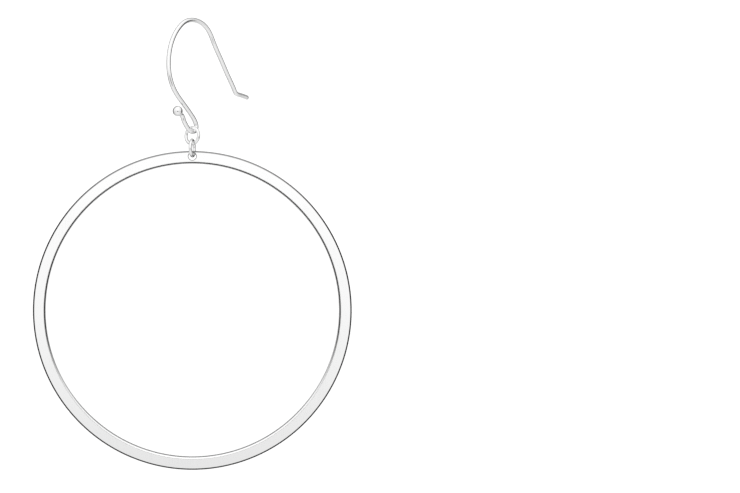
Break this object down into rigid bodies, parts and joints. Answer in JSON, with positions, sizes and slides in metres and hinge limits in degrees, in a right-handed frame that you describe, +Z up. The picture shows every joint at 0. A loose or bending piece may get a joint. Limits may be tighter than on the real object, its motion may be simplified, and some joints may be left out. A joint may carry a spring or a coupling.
{
  "type": "hoop earring",
  "caption": "Polished silver hoop earring: a large flat ring hangs by a small hole from linked jump rings on a French ear wire with a ball end.",
  "frame": {"origin": "on the ear wire's axis at the top of its arc, where the wire goes through the ear lobe", "axes": "+Z up and along the hanging earring, -Y out of the hoop's front face, +X to the right of a viewer who faces it"},
  "size_m": [0.05, 0.0122, 0.071],
  "materials": {
    "wire_silver": "polished drawn silver wire",
    "hoop_silver": "mirror polished silver"
  },
  "bodies": {
    "ear_hook": {"ear_hook": "wire_silver"},
    "upper_jump_ring": {"upper_jump_ring": "wire_silver"},
    "lower_jump_ring": {"lower_jump_ring": "wire_silver"},
    "hoop": {"hoop": "hoop_silver"}
  },
  "joints": [
    {"name": "upper_ring_swing", "type": "hinge", "parent": "ear_hook", "child": "upper_jump_ring", "pos_m": [0, 0, -0.0176], "axis": [0.7431, 0.6691, 0], "range_deg": [-45, 45]},
    {"name": "lower_ring_swing", "type": "hinge", "parent": "upper_jump_ring", "child": "lower_jump_ring", "pos_m": [0, 0, -0.01944], "axis": [0.788, -0.6157, 0], "range_deg": [-45, 45]},
    {"name": "hoop_swing", "type": "hinge", "parent": "lower_jump_ring", "child": "hoop", "pos_m": [0, 0, -0.02138], "axis": [0, 1, 0], "range_deg": [-45, 45]}
  ]
}
